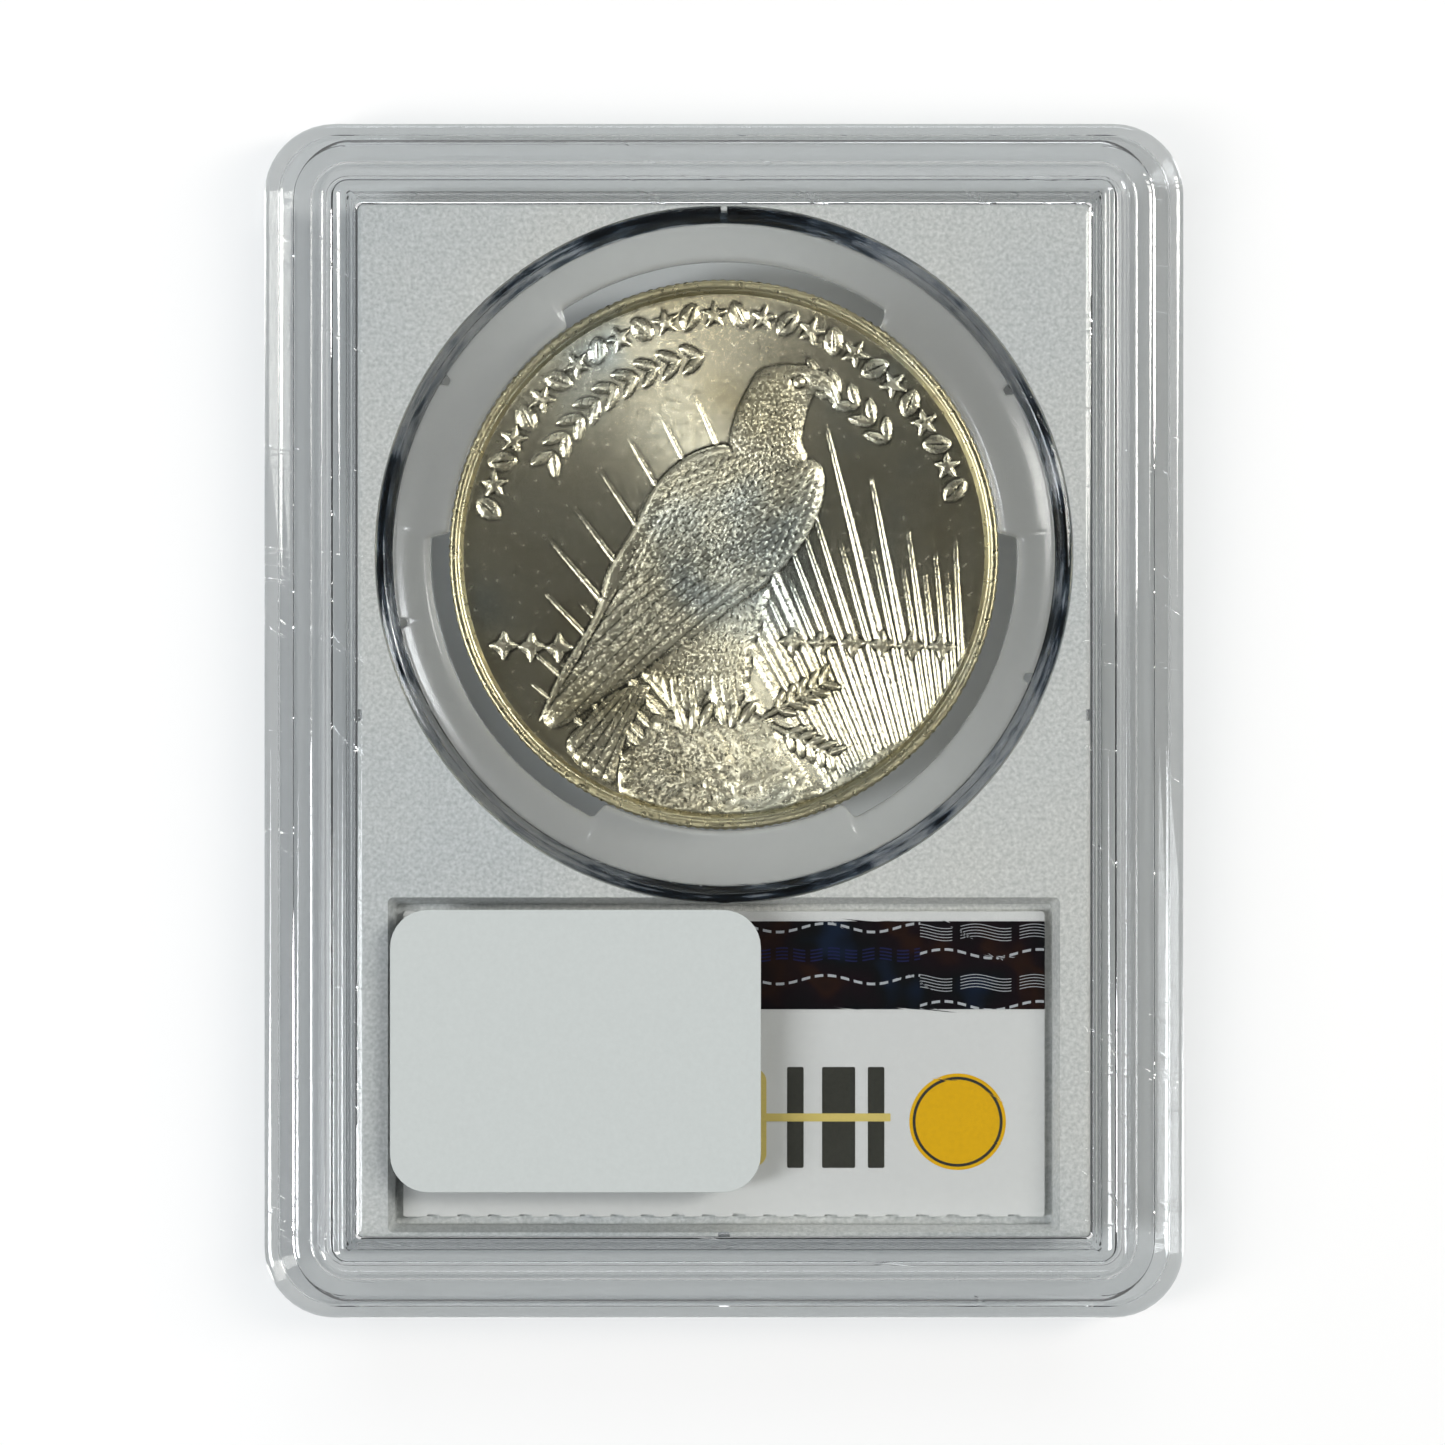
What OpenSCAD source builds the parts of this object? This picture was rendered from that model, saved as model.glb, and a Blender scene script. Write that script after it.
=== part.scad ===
// Sealed clear holder for one large coin and its label, lying on its front face.
// +Z is the outward normal of the back face, +Y runs from the label end to the coin end.
// The origin is the centre of the rest plane under the holder.

/* [Holder] */
// Width across the two long sides
holder_w = 63.5; // [60:0.5:70]
// Length from the label end to the coin end
holder_l = 82.5; // [80:0.5:90]
// Thickness over both ridges
holder_h = 8; // [7.6:0.1:9]
// Radius of the outer corners seen from the back
corner_r = 4.85; // [3:0.05:6]

/* [Shells] */
// Thickness of each clear window
window_t = 1.2; // [1:0.05:1.4]
// Height of the raised rim above the back window
rim_rise = 0.9; // [0.5:0.05:1]
// Height of the stacking ridge below the front window
ridge_drop = 0.9; // [0.5:0.05:1]
// Sideways gap from the stacking ridge to the rim of the holder below
nest_gap = 0.15; // [0.1:0.05:0.4]

/* [Coin] */
// Diameter of the coin
coin_d = 38.1; // [36:0.1:38.5]
// Thickness of the coin at its rim
coin_t = 2.4; // [2:0.1:2.8]
// Width of the coin's raised rim
coin_rim_w = 0.95; // [0.5:0.05:1.5]
// Depth of the coin's field below its rim
coin_field_drop = 0.2; // [0.1:0.02:0.4]
// Distance of the coin's centre above the holder's centre
coin_y = 11.5; // [11.2:0.1:11.5]

/* [Coin well] */
// Running gap between the coin's edge and each land
land_gap = 0.07; // [0.03:0.01:0.1]
// Depth of the three gaps between the lands
land_depth = 1.23; // [0.8:0.01:1.6]
// Angle that one land covers
land_angle = 52; // [40:1:60]
// Height of the clear ring that holds the coin
coin_ring_h = 2.9; // [2.6:0.1:3.1]
// Outer radius of the clear ring that holds the coin
coin_ring_r = 22.95; // [22.5:0.05:23]
// Wall thickness of the collar around the ring
collar_t = 1.1; // [0.8:0.05:1.1]
// Gap between nested pieces of the well
well_gap = 0.05; // [0.03:0.01:0.1]

/* [Label] */
// Width of the two label cards
label_w = 44.5; // [40:0.5:45]
// Height of the two label cards
label_l = 21.2; // [19:0.1:21.4]
// Thickness of each label card
label_t = 0.25; // [0.15:0.01:0.3]
// Distance of the label's centre below the holder's centre
label_y = -23.8; // [-24:0.1:-23.6]
// Height of the foil strip across the back label
strip_l = 6.1; // [3:0.1:8]
// Width of the blank sticker on the back window
sticker_w = 25.6; // [10:0.1:30]
// Height of the blank sticker on the back window
sticker_l = 19.5; // [8:0.1:21]
// Corner radius of the blank sticker
sticker_r = 2.6; // [1:0.1:4]

/* [Tag] */
// Turns of the foil loop between the labels
antenna_turns = 4; // [2:1:5]
// Width of one foil track
track_w = 0.5; // [0.3:0.05:0.6]
// Side of the square chip
chip_w = 1.4; // [1:0.1:2]

/* [Hidden] */
$fn = 96;
eps = 0.01;

// Levels, counted up from the rest plane
front_face_z = ridge_drop;
front_window_z = front_face_z + window_t;
parting_z = holder_h / 2;
back_face_z = holder_h - rim_rise;
back_window_z = back_face_z - window_t;
mid_z = (front_window_z + back_window_z) / 2;

// Insets from the outer edge: [along X, along Y], because the end rims are slimmer than the side rims
flank_out = [1.05, 0.85];
flat_out = [2.3, 1.7];
flat_in = [4.1, 3.25];
floor_in = [5.25, 4.3];
cavity_in = [6.15, 5.35];
flank_drop = 1.15;
edge_round = 0.45;
ridge_w = 1.1;
ridge_foot = 0.25;
cavity_r = 0.7;
sharp_r = 0.4;
ridge_r = 0.6;
ridge_foot_r = 0.5;
flat_r = 1;

// Weld bead and the grooves that it fills
weld_in = [3.2, 2.55];
weld_w = 0.5;
weld_h = 0.5;

// Core tray and its openings
tray_gap = 0.1;
tray_edge = 0.35;
well_r = coin_ring_r + well_gap + collar_t + well_gap;
recess_margin = 0.75;
ledge_w = 0.9;
ledge_drop = 0.6;
ledge_z = mid_z - ledge_drop;
nick_w = 0.8;
nick_d = 0.45;
nick_y = 0.4;
tray_r = 0.6;

// Collar, its slot, the core's rib in that slot and the collar's own crush ribs
collar_in_r = coin_ring_r + well_gap;
collar_out_r = collar_in_r + collar_t;
slot_w = 0.5;
slot_foot = 1.2;
key_d = 0.35;
key_root = 0.1;
key_top = 0.4;
rib_w = 0.3;
rib_d = 0.35;
rib_root = 0.4;
rib_angles = [30, 148, 192, 338];

// Ring lands
coin_r = coin_d / 2;
land_r = coin_r + land_gap;
land_angles = [30, 150, 270];
coin_z = mid_z - coin_t / 2;
reed_margin = 0.12;

// Label stack, bottom to top
front_card_z = ledge_z;
antenna_z = front_card_z + label_t;
antenna_t = 0.06;
chip_t = 0.14;
back_card_z = antenna_z + chip_t;
strip_z = back_card_z + label_t;
strip_t = 0.04;
strip_margin = 0.7;
strip_y = label_y + label_l / 2 - strip_margin - strip_l / 2;
tooth_pitch = 2.12;
tooth_w = 0.95;
tooth_d = 0.17;
sticker_x = 2.55 - sticker_w / 2;
sticker_y = -22.8;
sticker_t = 0.1;
loop_w = 36;
loop_l = 14;
track_gap = 0.6;

clear_plastic = [0.80, 0.84, 0.86, 0.45];
weld_plastic = [0.86, 0.88, 0.90, 0.6];
gasket_plastic = [0.70, 0.72, 0.73, 0.6];
frosted = [0.74, 0.76, 0.77];
silver = [0.78, 0.76, 0.69];
paper = [0.80, 0.80, 0.80];
foil_black = [0.10, 0.10, 0.12];
foil_copper = [0.85, 0.65, 0.13];
chip_black = [0.15, 0.15, 0.17];
sticker_grey = [0.78, 0.80, 0.79];

// Flat rectangle with round corners, its size reduced by inset = [x, y] on every side
module rounded(inset, r) {
  w = holder_w - 2 * inset[0];
  l = holder_l - 2 * inset[1];
  union() {
    square([w - 2 * r, l], center = true);
    square([w, l - 2 * r], center = true);
    for (sx = [-1, 1], sy = [-1, 1])
      translate([sx * (w / 2 - r), sy * (l / 2 - r)]) circle(r);
  }
}

// Upright slab with the outline of rounded(), from z0 to z1
module slab(inset, r, z0, z1) {
  translate([0, 0, z0]) linear_extrude(z1 - z0) rounded(inset, r);
}

// Smooth flank between two outlines
module flank(inset0, r0, z0, inset1, r1, z1) {
  hull() {
    translate([0, 0, z0]) linear_extrude(eps) rounded(inset0, r0, $fn = 48);
    translate([0, 0, z1 - eps]) linear_extrude(eps) rounded(inset1, r1, $fn = 48);
  }
}

// Flat closed band between two outlines, used for the weld bead and its grooves
module weld_band(z0, z1) {
  inner = weld_in + [weld_w, weld_w];
  difference() {
    slab(weld_in, corner_r - weld_in[1], z0, z1);
    slab(inner, corner_r - inner[1], z0 - 1, z1 + 1);
  }
}

// Plate centred on a point of the back, from z0 to z1
module plate(size, pos, z0, z1) {
  translate([pos[0], pos[1], (z0 + z1) / 2]) cube([size[0], size[1], z1 - z0], center = true);
}

module front_shell() {
  foot_out = floor_in + [nest_gap, nest_gap];
  foot_in = foot_out + [ridge_w, ridge_w];
  color(clear_plastic) difference() {
    union() {
      slab([0, 0], corner_r, front_face_z + edge_round, parting_z);
      flank([edge_round, edge_round], corner_r - edge_round, front_face_z,
            [0, 0], corner_r, front_face_z + edge_round + eps);
      flank(foot_out + [ridge_foot, ridge_foot], ridge_foot_r, 0, foot_out, ridge_r, front_face_z + eps);
    }
    slab(cavity_in, cavity_r, front_window_z, parting_z + 1);
    slab(foot_in, sharp_r, -1, front_face_z);
    weld_band(parting_z - weld_h / 2, parting_z + 1);
  }
}

module back_shell() {
  shoulder_z = holder_h - flank_drop;
  color(clear_plastic) difference() {
    union() {
      slab([0, 0], corner_r, parting_z, shoulder_z - edge_round);
      flank([0, 0], corner_r, shoulder_z - edge_round - eps,
            [edge_round, edge_round], corner_r - edge_round, shoulder_z);
      flank(flank_out, corner_r - flank_out[1], shoulder_z - 2 * eps,
            flat_out, corner_r - flat_out[1], holder_h);
    }
    slab(cavity_in, cavity_r, parting_z - 1, back_window_z);
    flank(floor_in, sharp_r, back_face_z, flat_in, flat_r, holder_h + eps);
    weld_band(parting_z - 1, parting_z + weld_h / 2);
  }
}

module weld_seam() {
  color(weld_plastic) weld_band(parting_z - weld_h / 2, parting_z + weld_h / 2);
}

module core_tray() {
  outline = cavity_in + [tray_gap, tray_gap];
  low = front_window_z + tray_gap;
  high = back_window_z - tray_gap;
  opening = [label_w - 2 * ledge_w, label_l - 2 * ledge_w];
  recess = [label_w + 2 * recess_margin, label_l + 2 * recess_margin];
  color(frosted) union() {
    difference() {
      union() {
        slab(outline + [tray_edge, tray_edge], sharp_r, low, high);
        slab(outline, tray_r, low + tray_edge, high - tray_edge);
      }
      translate([0, coin_y, low - 1]) cylinder(h = high - low + 2, r = well_r);
      plate(opening, [0, label_y], low - 1, high + 1);
      plate(recess, [0, label_y], ledge_z, high + 1);
      for (side = [-1, 1])
        plate([2 * nick_d, nick_w], [side * (holder_w / 2 - outline[0]), nick_y], low - 1, high + 1);
      plate([nick_w, 2 * nick_d], [0, -(holder_l / 2 - outline[1])], low - 1, high + 1);
    }
    plate([slot_w - 2 * well_gap, key_d + key_root], [0, coin_y + well_r + (key_root - key_d) / 2],
          low + slot_foot + well_gap, high - key_top);
  }
}

module ring_collar() {
  low = front_window_z + tray_gap;
  high = back_window_z - tray_gap;
  tall = high - low;
  bevel = 0.35;
  color(clear_plastic) translate([0, coin_y, low]) union() {
    difference() {
      cylinder(h = tall, r = collar_out_r);
      translate([0, 0, -1]) cylinder(h = tall + 2, r = collar_in_r);
      translate([0, 0, tall - bevel]) cylinder(h = bevel + eps, r1 = collar_in_r, r2 = collar_in_r + bevel);
      translate([-slot_w / 2, collar_in_r - rib_d, slot_foot]) cube([slot_w, collar_t + 2 * rib_d, tall]);
    }
    for (a = rib_angles)
      rotate(a) translate([collar_in_r - rib_d, -rib_w / 2, 0])
        cube([rib_d + rib_root, rib_w, tall - 2 * bevel]);
  }
}

// One of the three gaps between the lands, a sector of a ring
module land_gap_cut(angle, tall) {
  sweep = 120 - land_angle;
  rotate(angle - sweep / 2)
    rotate_extrude(angle = sweep)
      translate([land_r - land_depth / 2, -1]) square([1.5 * land_depth, tall + 2]);
}

module coin_ring() {
  low = mid_z - coin_ring_h / 2;
  lip = 0.3;
  color(gasket_plastic) translate([0, coin_y, low]) difference() {
    cylinder(h = coin_ring_h, r = coin_ring_r);
    translate([0, 0, -1]) cylinder(h = coin_ring_h + 2, r = land_r);
    translate([0, 0, coin_ring_h - lip])
      cylinder(h = lip + eps, r1 = land_r, r2 = land_r + lip + eps);
    for (a = land_angles)
      land_gap_cut(a + 60, coin_ring_h);
    for (a = rib_angles)
      rotate(a) translate([coin_ring_r - rib_d - 0.1, -rib_w / 2 - well_gap, -1])
        cube([rib_d + 1, rib_w + 2 * well_gap, coin_ring_h + 2]);
  }
}

module coin() {
  dish_r = coin_r - coin_rim_w;
  color(silver) translate([0, coin_y, coin_z]) rotate_extrude()
    polygon([[0, coin_field_drop], [dish_r - coin_field_drop, coin_field_drop], [dish_r, 0],
             [coin_r - reed_margin, 0], [coin_r, reed_margin],
             [coin_r, coin_t - reed_margin], [coin_r - reed_margin, coin_t],
             [dish_r, coin_t], [dish_r - coin_field_drop, coin_t - coin_field_drop],
             [0, coin_t - coin_field_drop]]);
}

module label_card(z0) {
  teeth = floor(label_w / tooth_pitch);
  difference() {
    plate([label_w, label_l], [0, label_y], z0, z0 + label_t);
    for (i = [1 : teeth])
      plate([tooth_w, 2 * tooth_d], [(i - (teeth + 1) / 2) * tooth_pitch, label_y - label_l / 2],
            z0 - 1, z0 + label_t + 1);
  }
}

module label_front_card() {
  color(paper) label_card(front_card_z);
}

module label_back_card() {
  color(paper) label_card(back_card_z);
}

module hologram_strip() {
  color(foil_black) plate([label_w, strip_l], [0, strip_y], strip_z, strip_z + strip_t);
}

module blank_sticker() {
  inner = [sticker_w - 2 * sticker_r, sticker_l - 2 * sticker_r];
  color(sticker_grey) translate([sticker_x, sticker_y, back_face_z]) linear_extrude(sticker_t)
    union() {
      square([inner[0], sticker_l], center = true);
      square([sticker_w, inner[1]], center = true);
      for (sx = [-1, 1], sy = [-1, 1])
        translate([sx * inner[0] / 2, sy * inner[1] / 2]) circle(sticker_r);
    }
}

// Foil track from one point to the next, with square ends
module track(a, b) {
  lo = [min(a[0], b[0]), min(a[1], b[1])] - [track_w, track_w] / 2;
  hi = [max(a[0], b[0]), max(a[1], b[1])] + [track_w, track_w] / 2;
  translate([lo[0], lo[1], 0]) cube([hi[0] - lo[0], hi[1] - lo[1], antenna_t]);
}

// Corner k of the square spiral, counted inwards from its outer end
function spiral_corner(k) =
  let(turn = floor(k / 4), step = track_w + track_gap, side = k % 4,
      x = loop_w / 2 - turn * step, y = loop_l / 2 - turn * step)
  side == 0 ? [-x, y] : side == 1 ? [x, y] : side == 2 ? [x, -y] : [-x + step, -y];

module tag_antenna() {
  last = 4 * antenna_turns - 1;
  inner_end = spiral_corner(last);
  color(foil_copper) translate([0, label_y, antenna_z]) union() {
    for (k = [0 : last - 1])
      track(spiral_corner(k), spiral_corner(k + 1));
    track(inner_end, [inner_end[0], 0]);
    track([inner_end[0], 0], [-chip_w / 2 - track_w, 0]);
  }
}

module tag_chip() {
  color(chip_black) plate([chip_w, chip_w], [0, label_y], antenna_z, antenna_z + chip_t - eps);
}

front_shell();
back_shell();
weld_seam();
core_tray();
ring_collar();
coin_ring();
coin();
label_front_card();
tag_antenna();
tag_chip();
label_back_card();
hologram_strip();
blank_sticker();
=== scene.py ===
import math

import bmesh
import bpy
import numpy as np
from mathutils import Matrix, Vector


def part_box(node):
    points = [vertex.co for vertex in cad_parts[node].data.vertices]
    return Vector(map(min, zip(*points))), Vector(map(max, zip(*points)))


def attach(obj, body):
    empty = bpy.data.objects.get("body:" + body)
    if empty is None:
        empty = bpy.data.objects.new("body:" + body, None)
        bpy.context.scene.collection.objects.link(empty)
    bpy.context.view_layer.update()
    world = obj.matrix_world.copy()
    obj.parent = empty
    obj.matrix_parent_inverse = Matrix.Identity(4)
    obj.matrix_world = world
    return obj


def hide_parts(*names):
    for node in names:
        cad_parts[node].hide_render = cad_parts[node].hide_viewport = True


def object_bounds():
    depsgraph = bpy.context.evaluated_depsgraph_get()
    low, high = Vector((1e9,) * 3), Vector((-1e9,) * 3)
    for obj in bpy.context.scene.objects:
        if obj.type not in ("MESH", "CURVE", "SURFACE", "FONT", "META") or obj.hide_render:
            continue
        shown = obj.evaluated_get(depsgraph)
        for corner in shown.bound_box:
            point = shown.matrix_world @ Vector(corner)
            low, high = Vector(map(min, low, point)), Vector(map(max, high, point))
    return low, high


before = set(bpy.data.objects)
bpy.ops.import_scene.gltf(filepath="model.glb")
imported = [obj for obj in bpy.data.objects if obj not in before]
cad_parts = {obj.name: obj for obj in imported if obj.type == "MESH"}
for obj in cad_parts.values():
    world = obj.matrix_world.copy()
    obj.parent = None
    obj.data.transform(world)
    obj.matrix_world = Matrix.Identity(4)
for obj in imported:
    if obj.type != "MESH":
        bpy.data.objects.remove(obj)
cadLow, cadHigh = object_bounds()
mm = 0.001
scene = bpy.context.scene
scene.view_settings.view_transform = "Standard"


def middleOf(low, high):
    return (low.x + high.x) / 2, (low.y + high.y) / 2


def halfSizeOf(low, high):
    # half of a box's width and length, in mm
    return (high.x - low.x) / 2 / mm, (high.y - low.y) / 2 / mm


centreX, centreY = middleOf(cadLow, cadHigh)
halfWide, halfLong = halfSizeOf(cadLow, cadHigh)
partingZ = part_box("back_shell")[0].z
coinLow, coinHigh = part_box("coin")
coinX, coinY = middleOf(coinLow, coinHigh)
coinR = (coinHigh.x - coinLow.x) / 2
print("frame loaded")


# mesh helpers

def clearSelection():
    if bpy.context.object and bpy.context.object.mode != "OBJECT":
        bpy.ops.object.mode_set(mode="OBJECT")
    bpy.ops.object.select_all(action="DESELECT")


def activate(obj):
    clearSelection()
    obj.select_set(True)
    bpy.context.view_layer.objects.active = obj


def finishPiece(obj, material, name, body, nodes=(), angle=32):
    # paints and names the piece, smooths it by angle and hangs it on its body
    obj.data.materials.append(material)
    activate(obj)
    bpy.ops.object.transform_apply(location=True, rotation=True, scale=True)
    if angle:
        bpy.ops.object.shade_smooth_by_angle(angle=math.radians(angle))
    obj.name = obj.data.name = name
    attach(obj, body)
    if nodes:
        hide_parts(*nodes)
    return obj


def placeRing(obj, before, after):
    # the selected outline goes from where the last one lies to its own place
    bm = bmesh.from_edit_mesh(obj.data)
    chosen = [v for v in bm.verts if v.select]
    if before is None:
        order = range(len(chosen))
    else:
        here = np.array([v.co for v in chosen])
        there = np.array(before)
        order = [int(np.argmin(((there - p) ** 2).sum(1))) for p in here]
    for vert, i in zip(chosen, order):
        vert.co = after[i]
    bmesh.update_edit_mesh(obj.data)


def selectBoundary(obj):
    # only the open edges of the mesh in hand
    bm = bmesh.from_edit_mesh(obj.data)
    for face in bm.faces:
        face.select_set(False)
    for edge in bm.edges:
        edge.select_set(edge.is_boundary)
    bmesh.update_edit_mesh(obj.data)


def turnOutward():
    bpy.ops.mesh.select_all(action="SELECT")
    bpy.ops.mesh.normals_make_consistent(inside=False)


def loft(outlines, closed=False):
    # a stack of outlines, each extruded from the one before; closed joins the last to the first
    clearSelection()
    bpy.ops.mesh.primitive_circle_add(vertices=len(outlines[0]), radius=0.01,
                                      fill_type="NOTHING" if closed else "NGON")
    obj = bpy.context.object
    bpy.ops.object.mode_set(mode="EDIT")
    bpy.ops.mesh.select_all(action="SELECT")
    placeRing(obj, None, outlines[0])
    for before, after in zip(outlines, outlines[1:]):
        if closed:
            bpy.ops.mesh.extrude_edges_move()
        else:
            bpy.ops.mesh.extrude_region_move()
        placeRing(obj, before, after)
    if closed:
        selectBoundary(obj)
        bpy.ops.mesh.bridge_edge_loops()
    turnOutward()
    bpy.ops.object.mode_set(mode="OBJECT")
    return obj


def boxOutline(halfX, halfY, radius, z, x=0.0, y=0.0, steps=8):
    # rectangle with round corners, in mm about (x, y) in metres
    radius = max(min(radius, halfX, halfY), 0.02)
    points = []
    for corner, (sx, sy) in enumerate(((1, 1), (-1, 1), (-1, -1), (1, -1))):
        for step in range(steps + 1):
            turn = math.radians(90 * corner + 90 * step / steps)
            points.append((x + (sx * (halfX - radius) + radius * math.cos(turn)) * mm,
                           y + (sy * (halfY - radius) + radius * math.sin(turn)) * mm, z * mm))
    return points


def roundOutline(radius, z, count, x=None, y=None):
    # circle in mm about the coin's axis or (x, y) in metres; radius may be a function of the angle in degrees
    points = []
    for i in range(count):
        turn = 2 * math.pi * i / count
        r = radius(360 * i / count) if callable(radius) else radius
        points.append(((coinX if x is None else x) + r * mm * math.cos(turn),
                       (coinY if y is None else y) + r * mm * math.sin(turn), z * mm))
    return points


def boxBar(halfX, halfY, radius, bottom, top, x, y):
    # upright bar with round corners
    return loft([boxOutline(halfX, halfY, radius, z, x, y) for z in (bottom, top)])


def roundBar(radius, bottom, top, count, x=None, y=None):
    return loft([roundOutline(radius, z, count, x, y) for z in (bottom, top)])


def angleFrom(angle, marks):
    # degrees from an angle to the nearest of the marks
    return min(abs((angle - mark + 180) % 360 - 180) for mark in marks)


def applyModifiers(obj):
    activate(obj)
    for modifier in list(obj.modifiers):
        bpy.ops.object.modifier_apply(modifier=modifier.name)


def carve(obj, cutter, operation="DIFFERENCE"):
    modifier = obj.modifiers.new("carve", "BOOLEAN")
    modifier.operation = operation
    modifier.solver = "EXACT"
    modifier.object = cutter
    applyModifiers(obj)
    bpy.data.objects.remove(cutter)


def roundEdges(obj, width):
    modifier = obj.modifiers.new("edges", "BEVEL")
    modifier.width = width * mm
    modifier.segments = 2
    modifier.limit_method = "ANGLE"
    modifier.angle_limit = math.radians(40)
    modifier.harden_normals = True
    applyModifiers(obj)


def plateOn(box, radius, edge=0.04):
    # a thin plate with round corners and softened edges that fills a CAD box
    low, high = box
    halfX, halfY = halfSizeOf(low, high)
    x, y = middleOf(low, high)
    z0, z1 = low.z / mm, high.z / mm
    edge = min(edge, (z1 - z0) / 2.5)
    profile = [(edge + 0.06, z0), (edge, z0), (0, z0 + edge), (0, z1 - edge), (edge, z1), (edge + 0.06, z1)]
    return loft([boxOutline(halfX - i, halfY - i, radius - i, z, x, y) for i, z in profile])


# shader helpers

def newMaterial(name, **values):
    mat = bpy.data.materials.new(name)
    mat.use_nodes = True
    shader = mat.node_tree.nodes["Principled BSDF"]
    for key, value in values.items():
        shader.inputs[key].default_value = value
    return mat


def node(tree, kind, links=(), **settings):
    # adds a node, sets its properties and sockets, and links what is given
    made = tree.nodes.new(kind)
    for key, value in settings.items():
        setattr(made, key, value)
    for socket, value in links:
        target = made.inputs[socket]
        if isinstance(value, bpy.types.NodeSocket):
            tree.links.new(value, target)
        else:
            target.default_value = value
    return made


def calc(tree, operation, *values):
    return node(tree, "ShaderNodeMath", enumerate(values), operation=operation).outputs[0]


def times(tree, first, second):
    return calc(tree, "MULTIPLY", first, second)


def plus(tree, *values):
    total = values[0]
    for value in values[1:]:
        total = calc(tree, "ADD", total, value)
    return total


def objectPlace(tree):
    return node(tree, "ShaderNodeTexCoord").outputs["Object"]


def splitPlace(tree, source="Object"):
    place = node(tree, "ShaderNodeTexCoord").outputs[source]
    return node(tree, "ShaderNodeSeparateXYZ", (("Vector", place),)).outputs


def mixColor(tree, factor, first, second, blend="MIX"):
    # a mix node's colours are its sockets 6 and 7, and its colour result is output 2
    made = node(tree, "ShaderNodeMix", ((0, factor), (6, first), (7, second)), data_type="RGBA",
                blend_type=blend)
    return made.outputs[2]


def noise(tree, place, scale, detail=2.0, roughness=0.5):
    return node(tree, "ShaderNodeTexNoise", (("Vector", place), ("Scale", scale), ("Detail", detail),
                                             ("Roughness", roughness))).outputs


def mapRange(tree, value, low, high):
    # 0 at the low value and below, 1 at the high value and above
    made = node(tree, "ShaderNodeMapRange", (("Value", value), ("From Min", low), ("From Max", high)))
    return made.outputs[0]


def mixVectors(tree, operation, first, second):
    return node(tree, "ShaderNodeVectorMath", ((0, first), (1, second)), operation=operation).outputs[0]


def feed(mat, socket, value):
    mat.node_tree.links.new(value, mat.node_tree.nodes["Principled BSDF"].inputs[socket])


def newGroup(name, inputs, outputs):
    tree = bpy.data.node_groups.new(name, "ShaderNodeTree")
    for label, value in inputs:
        socket = tree.interface.new_socket(label, in_out="INPUT", socket_type="NodeSocketFloat")
        socket.default_value = value
    for label in outputs:
        tree.interface.new_socket(label, in_out="OUTPUT", socket_type="NodeSocketFloat")
    return tree, tree.nodes.new("NodeGroupInput").outputs, tree.nodes.new("NodeGroupOutput").inputs


def makeGrain():
    # fine moulded or paper grain: a shade from 0 to 1 and a height
    tree, given, out = newGroup("fineGrain", (("Scale", 1500.0), ("Cloud Scale", 40.0), ("Contrast", 1.0)),
                                ("Shade", "Height", "Cloud"))
    place = objectPlace(tree)
    fine = noise(tree, place, given["Scale"], 3.0, 0.65)["Fac"]
    cloud = noise(tree, place, given["Cloud Scale"])["Fac"]
    centred = calc(tree, "SUBTRACT", fine, 0.5)
    shade = plus(tree, times(tree, centred, given["Contrast"]), 0.5)
    tree.links.new(shade, out["Shade"])
    tree.links.new(fine, out["Height"])
    tree.links.new(cloud, out["Cloud"])
    return tree


def makeHairlines():
    # sparse fine scratches in two directions, as handling leaves them
    tree, given, out = newGroup("hairlines", (("Density", 1.0), ("Turn", 0.6)), ("Mask", "Height"))
    place = objectPlace(tree)
    total = None
    for stretch, offset in (((90, 1900, 60), 0.0), ((1700, 70, 60), 1.1)):
        angle = plus(tree, given["Turn"], offset)
        turned = node(tree, "ShaderNodeVectorRotate", (("Vector", place), ("Angle", angle)),
                      rotation_type="Z_AXIS").outputs[0]
        streak = noise(tree, mixVectors(tree, "MULTIPLY", turned, stretch), 1.0, 1.0)["Fac"]
        line = mapRange(tree, streak, 0.70, 0.78)
        total = line if total is None else calc(tree, "MAXIMUM", total, line)
    mask = times(tree, total, given["Density"])
    tree.links.new(mask, out["Mask"])
    tree.links.new(times(tree, mask, -1.0), out["Height"])
    return tree


def makeWave():
    # one wavy line, dashed or whole, as a mask; lengths are in metres
    tree, given, out = newGroup("securityWave", (("Level", 0.0), ("Swing", 0.0003), ("Length", 0.0066),
                                                 ("Shift", 0.0), ("Thick", 0.00018), ("Dash", 0.0009),
                                                 ("Fill", 0.65)), ("Mask",))
    place = splitPlace(tree)
    along, across = place["X"], place["Y"]
    phase = calc(tree, "DIVIDE", plus(tree, along, given["Shift"]), given["Length"])
    swing = times(tree, calc(tree, "SINE", times(tree, phase, 2 * math.pi)), given["Swing"])
    above = calc(tree, "SUBTRACT", across, given["Level"])
    off = calc(tree, "ABSOLUTE", calc(tree, "SUBTRACT", above, swing))
    line = calc(tree, "LESS_THAN", off, times(tree, given["Thick"], 0.5))
    step = calc(tree, "FRACT", calc(tree, "DIVIDE", along, given["Dash"]))
    dash = calc(tree, "LESS_THAN", step, given["Fill"])
    tree.links.new(times(tree, line, dash), out["Mask"])
    return tree


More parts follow.
